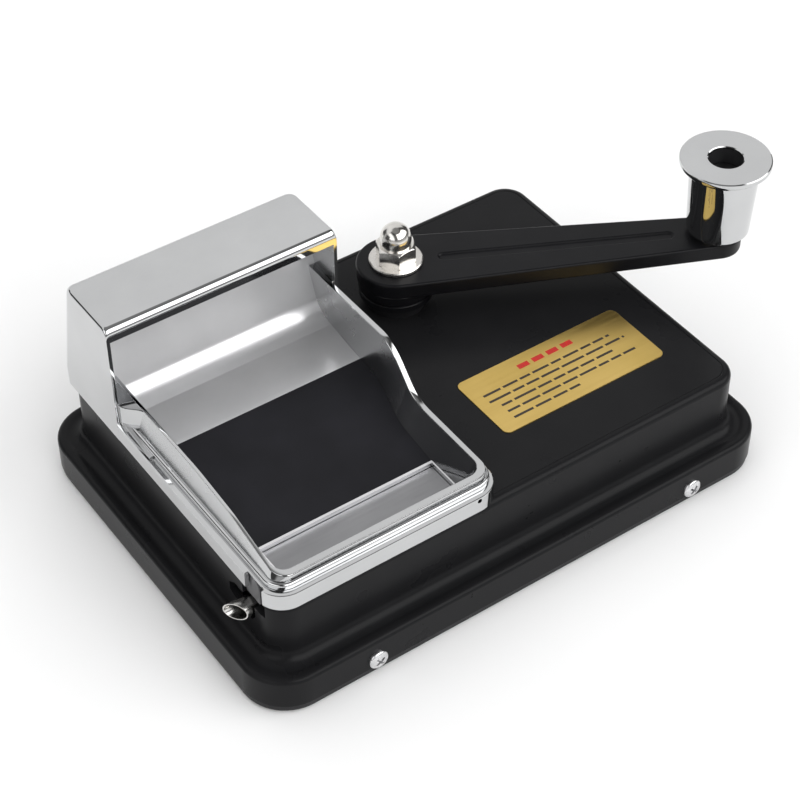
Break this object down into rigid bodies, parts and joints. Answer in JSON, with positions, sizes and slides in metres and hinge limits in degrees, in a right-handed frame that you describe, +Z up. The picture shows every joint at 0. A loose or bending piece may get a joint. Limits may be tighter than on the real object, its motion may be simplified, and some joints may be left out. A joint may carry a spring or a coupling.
{
  "type": "hand-cranked tabletop filling press",
  "caption": "Hand-cranked tabletop filling press: black flanged base, chrome hopper with hood, flat crank arm with chrome spool knob, steel side nozzle.",
  "frame": {"origin": "centre of the base on the surface it stands on", "axes": "+X right along the base, +Y to the back where the hood stands, +Z up; the nozzle points to -X"},
  "size_m": [0.2449, 0.1546, 0.0909],
  "materials": {
    "black_shell": "satin black moulded plastic",
    "dark_plate": "black painted steel sheet",
    "rubber_mat": "matt black rubber",
    "bright_screw": "bright zinc plated steel",
    "gold_label": "brushed gold label stock",
    "chrome_hopper": "mirror chrome plate",
    "chrome_liner": "polished sheet, slightly satin",
    "black_tray": "matt black moulded plastic",
    "frame_steel": "bright steel",
    "block_aluminium": "machined aluminium",
    "nozzle_steel": "thin bright stainless steel",
    "press_steel": "satin grey plated steel",
    "spring_steel": "spring wire",
    "bracket_steel": "zinc plated steel",
    "dark_clamp": "dark grey plastic",
    "shaft_steel": "ground steel",
    "gear_steel": "cut steel with a film of grease",
    "bush_brass": "sintered bronze",
    "black_bush": "satin black acetal",
    "black_collar": "satin black paint",
    "black_arm": "satin black powder coat",
    "washer_steel": "stainless steel",
    "nut_steel": "polished stainless steel",
    "chrome_knob": "mirror chrome plate",
    "pin_steel": "dark steel"
  },
  "bodies": {
    "base": {"base_shell": "black_shell", "bottom_plate": "dark_plate", "non_slip_mat": "rubber_mat", "flange_screws": "bright_screw", "label_plate": "gold_label", "hopper_shell": "chrome_hopper", "hopper_screws": "bright_screw", "hopper_liner": "chrome_liner", "hopper_tray": "black_tray", "chamber_frame": "frame_steel", "chamber_block": "block_aluminium", "block_screws": "bright_screw", "nozzle": "nozzle_steel", "press_springs": "spring_steel", "spring_bracket": "bracket_steel", "clamp_spring": "spring_steel", "rack_guide": "bracket_steel", "guide_rod": "shaft_steel", "guide_posts": "bracket_steel", "stop_bumpers": "rubber_mat", "bearing_block": "bracket_steel", "lower_bush": "bush_brass", "upper_bush": "black_bush"},
    "crank": {"crank_shaft": "shaft_steel", "sector_gear": "gear_steel", "gear_pin": "bright_screw", "thrust_washer": "bush_brass", "boss_collar": "black_collar", "crank_arm": "black_arm", "crank_washer": "washer_steel", "acorn_nut": "nut_steel", "knob_pin": "pin_steel", "knob_washer": "washer_steel"},
    "knob": {"knob": "chrome_knob"},
    "ram": {"spoon": "nozzle_steel", "ram_rod": "shaft_steel", "carriage": "block_aluminium", "rack": "gear_steel", "rack_screws": "bright_screw"},
    "press": {"press_bar": "press_steel"},
    "clamp": {"clamp_finger": "dark_clamp"}
  },
  "joints": [
    {"name": "crank_turn", "type": "hinge", "parent": "base", "child": "crank", "pos_m": [0.0201, 0.0343, 0.052], "axis": [0, 0, -1], "range_deg": [0, 78]},
    {"name": "ram_slide", "type": "slide", "parent": "base", "child": "ram", "axis": [-1, 0, 0], "range_m": [0, 0.0655]},
    {"name": "knob_spin", "type": "hinge", "parent": "crank", "child": "knob", "pos_m": [0.12363, -0.01845, 0.075], "axis": [0, 0, 1], "continuous": true},
    {"name": "press_slide", "type": "slide", "parent": "base", "child": "press", "axis": [0, 1, 0], "range_m": [0, 0.0105], "stiffness_N_per_m": 120, "springref_m": -0.003, "deforming": ["press_springs"]},
    {"name": "clamp_press", "type": "slide", "parent": "base", "child": "clamp", "axis": [0, 0, -1], "range_m": [0, 0.0012], "stiffness_N_per_m": 80, "springref_m": -0.002, "deforming": ["clamp_spring"]}
  ],
  "couplings": [
    {"joint": "ram_slide", "follows": "crank_turn", "m_per_rad": 0.048}
  ]
}
